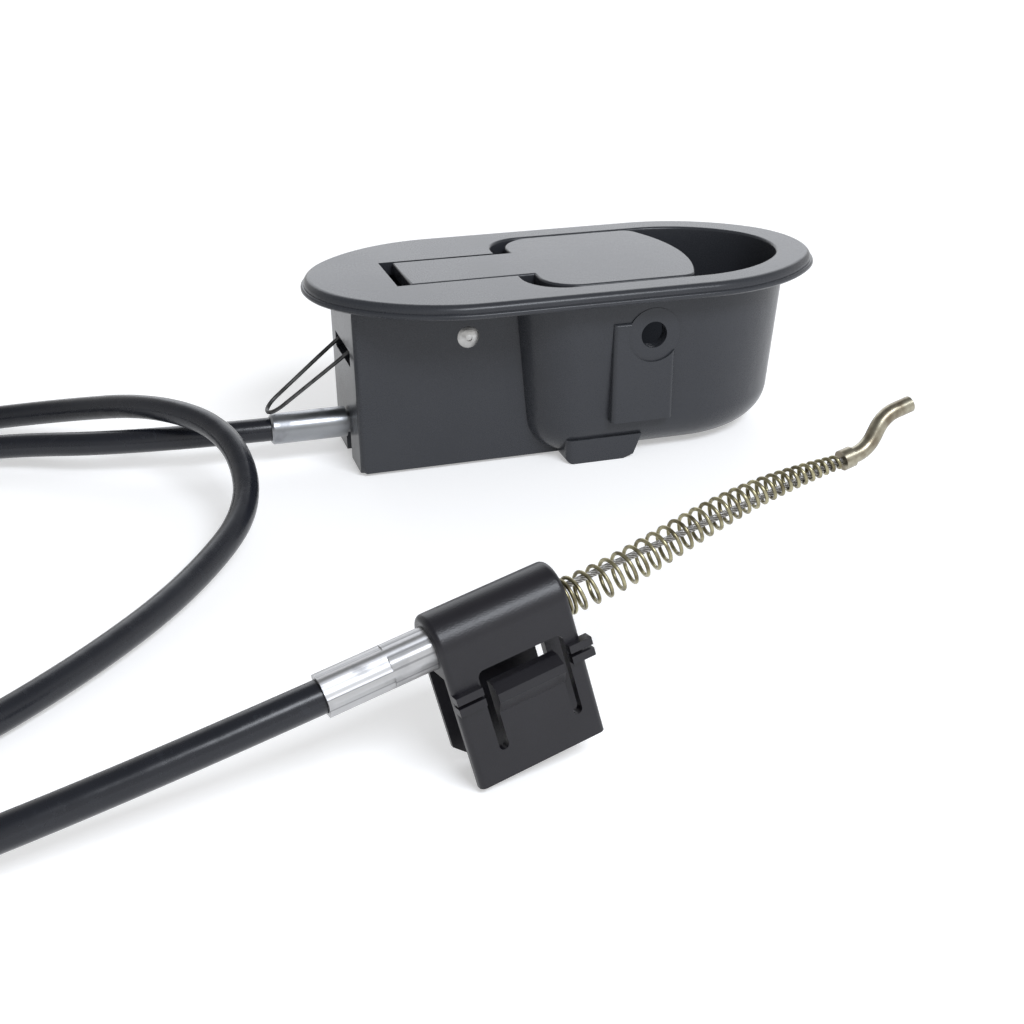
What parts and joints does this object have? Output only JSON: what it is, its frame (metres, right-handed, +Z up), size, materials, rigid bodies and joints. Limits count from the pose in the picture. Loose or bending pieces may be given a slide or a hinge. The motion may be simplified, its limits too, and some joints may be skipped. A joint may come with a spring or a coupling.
{
  "type": "recliner pull handle",
  "caption": "Flush oval recliner release handle: finger scoop, sprung lever paddle and a sheathed pull cable with anchor clip, return cone spring and hook end.",
  "frame": {"origin": "middle of the handle's underside, cable left out, on the surface that the handle stands on", "axes": "+X along the flange from the cable end to the scoop end, +Z up through the flange's show face"},
  "size_m": [0.3163, 0.1998, 0.0507],
  "materials": {
    "satin_black": "satin black paint",
    "bright_steel": "bright rivet steel",
    "spring_wire": "oiled spring wire",
    "zinc": "bright zinc",
    "core_wire": "plain steel wire",
    "sheath_plastic": "glossy black plastic",
    "black_nylon": "semi-matt black nylon",
    "plated_wire": "yellowish zinc-plated wire",
    "hook_metal": "dull yellowish plated metal"
  },
  "bodies": {
    "base": {"housing": "satin_black", "pivot_pin": "bright_steel", "return_spring": "spring_wire", "handle_ferrule": "zinc", "cable_sheath": "sheath_plastic", "clip_ferrule": "zinc", "anchor_clip": "black_nylon", "cone_spring": "plated_wire"},
    "lever": {"paddle": "satin_black"},
    "pull_wire": {"pull_core": "core_wire", "cable_nipple": "zinc"},
    "tip": {"tip_core": "core_wire", "hook_tip": "hook_metal"}
  },
  "joints": [
    {"name": "paddle_lift", "type": "hinge", "parent": "base", "child": "lever", "pos_m": [-0.02347, 0, 0.0332], "axis": [0, -1, 0], "range_deg": [0, 38], "stiffness_Nm_per_rad": 0.25, "springref_deg": -20.05, "deforming": ["return_spring"]},
    {"name": "cable_pull", "type": "slide", "parent": "base", "child": "pull_wire", "axis": [1, 0, 0], "range_m": [0, 0.0169]},
    {"name": "tip_draw", "type": "slide", "parent": "base", "child": "tip", "axis": [-0.965, -0.1702, -0.1994], "range_m": [0, 0.0169], "deforming": ["cone_spring"]}
  ],
  "couplings": [
    {"joint": "cable_pull", "follows": "paddle_lift", "m_per_rad": 0.02505},
    {"joint": "tip_draw", "follows": "paddle_lift", "m_per_rad": 0.02505}
  ]
}
